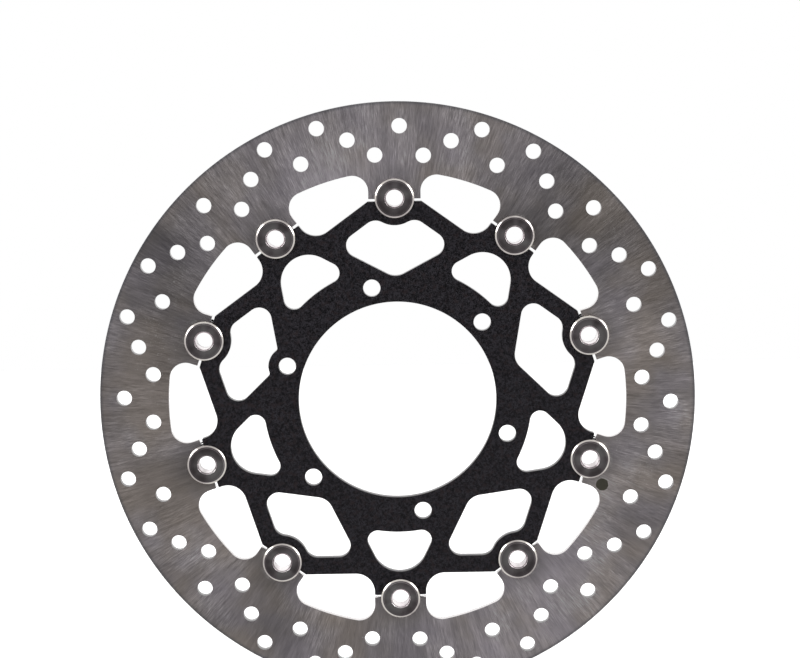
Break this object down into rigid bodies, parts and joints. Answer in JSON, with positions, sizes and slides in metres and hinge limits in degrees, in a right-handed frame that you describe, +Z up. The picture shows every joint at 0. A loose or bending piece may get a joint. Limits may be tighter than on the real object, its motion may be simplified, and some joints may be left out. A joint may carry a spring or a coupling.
{
  "type": "motorcycle brake disc",
  "caption": "Round floating front brake disc: a drilled steel friction band hung by hollow bobbins on a black open-webbed carrier with a hub bore and bolt holes.",
  "frame": {"origin": "centre of the hub bore, half way through the carrier's thickness", "axes": "+Y along the wheel axis, from the outer side of the wheel (flanges of the bobbins, towards -Y) to the hub side (circlips, towards +Y); +X to the right seen from the outer side; +Z up, through the centre of the first bobbin"},
  "size_m": [0.31, 0.0124, 0.31],
  "materials": {
    "band_steel": "ground stainless steel, fine crossed grinding marks",
    "carrier_black": "black anodised, fine satin grain",
    "bobbin_polished": "polished, bright rim",
    "washer_steel": "zinc-plated, satin",
    "spring_steel": "tempered spring strip, smooth",
    "clip_black": "phosphated, dark satin"
  },
  "bodies": {
    "carrier": {"carrier": "carrier_black"},
    "brake_band": {"brake_band": "band_steel"},
    "bobbin_set_01": {"bobbin_01": "bobbin_polished", "flat_washer_01": "washer_steel", "wave_spring_01": "spring_steel", "circlip_01": "clip_black"},
    "bobbin_set_02": {"bobbin_02": "bobbin_polished", "flat_washer_02": "washer_steel", "wave_spring_02": "spring_steel", "circlip_02": "clip_black"},
    "bobbin_set_03": {"bobbin_03": "bobbin_polished", "flat_washer_03": "washer_steel", "wave_spring_03": "spring_steel", "circlip_03": "clip_black"},
    "bobbin_set_04": {"bobbin_04": "bobbin_polished", "flat_washer_04": "washer_steel", "wave_spring_04": "spring_steel", "circlip_04": "clip_black"},
    "bobbin_set_05": {"bobbin_05": "bobbin_polished", "flat_washer_05": "washer_steel", "wave_spring_05": "spring_steel", "circlip_05": "clip_black"},
    "bobbin_set_06": {"bobbin_06": "bobbin_polished", "flat_washer_06": "washer_steel", "wave_spring_06": "spring_steel", "circlip_06": "clip_black"},
    "bobbin_set_07": {"bobbin_07": "bobbin_polished", "flat_washer_07": "washer_steel", "wave_spring_07": "spring_steel", "circlip_07": "clip_black"},
    "bobbin_set_08": {"bobbin_08": "bobbin_polished", "flat_washer_08": "washer_steel", "wave_spring_08": "spring_steel", "circlip_08": "clip_black"},
    "bobbin_set_09": {"bobbin_09": "bobbin_polished", "flat_washer_09": "washer_steel", "wave_spring_09": "spring_steel", "circlip_09": "clip_black"},
    "bobbin_set_10": {"bobbin_10": "bobbin_polished", "flat_washer_10": "washer_steel", "wave_spring_10": "spring_steel", "circlip_10": "clip_black"}
  },
  "joints": [
    {"name": "band_float", "type": "slide", "parent": "carrier", "child": "brake_band", "axis": [0, 1, 0], "range_m": [-0.0004, 0.0004]},
    {"name": "bobbin_turn_01", "type": "hinge", "parent": "carrier", "child": "bobbin_set_01", "pos_m": [0, 0, 0.1052], "axis": [0, 1, 0], "continuous": true},
    {"name": "bobbin_turn_02", "type": "hinge", "parent": "carrier", "child": "bobbin_set_02", "pos_m": [0.06184, 0, 0.08511], "axis": [0, 1, 0], "continuous": true},
    {"name": "bobbin_turn_03", "type": "hinge", "parent": "carrier", "child": "bobbin_set_03", "pos_m": [0.10005, 0, 0.03251], "axis": [0, 1, 0], "continuous": true},
    {"name": "bobbin_turn_04", "type": "hinge", "parent": "carrier", "child": "bobbin_set_04", "pos_m": [0.10005, 0, -0.03251], "axis": [0, 1, 0], "continuous": true},
    {"name": "bobbin_turn_05", "type": "hinge", "parent": "carrier", "child": "bobbin_set_05", "pos_m": [0.06184, 0, -0.08511], "axis": [0, 1, 0], "continuous": true},
    {"name": "bobbin_turn_06", "type": "hinge", "parent": "carrier", "child": "bobbin_set_06", "pos_m": [0, 0, -0.1052], "axis": [0, 1, 0], "continuous": true},
    {"name": "bobbin_turn_07", "type": "hinge", "parent": "carrier", "child": "bobbin_set_07", "pos_m": [-0.06184, 0, -0.08511], "axis": [0, 1, 0], "continuous": true},
    {"name": "bobbin_turn_08", "type": "hinge", "parent": "carrier", "child": "bobbin_set_08", "pos_m": [-0.10005, 0, -0.03251], "axis": [0, 1, 0], "continuous": true},
    {"name": "bobbin_turn_09", "type": "hinge", "parent": "carrier", "child": "bobbin_set_09", "pos_m": [-0.10005, 0, 0.03251], "axis": [0, 1, 0], "continuous": true},
    {"name": "bobbin_turn_10", "type": "hinge", "parent": "carrier", "child": "bobbin_set_10", "pos_m": [-0.06184, 0, 0.08511], "axis": [0, 1, 0], "continuous": true}
  ]
}
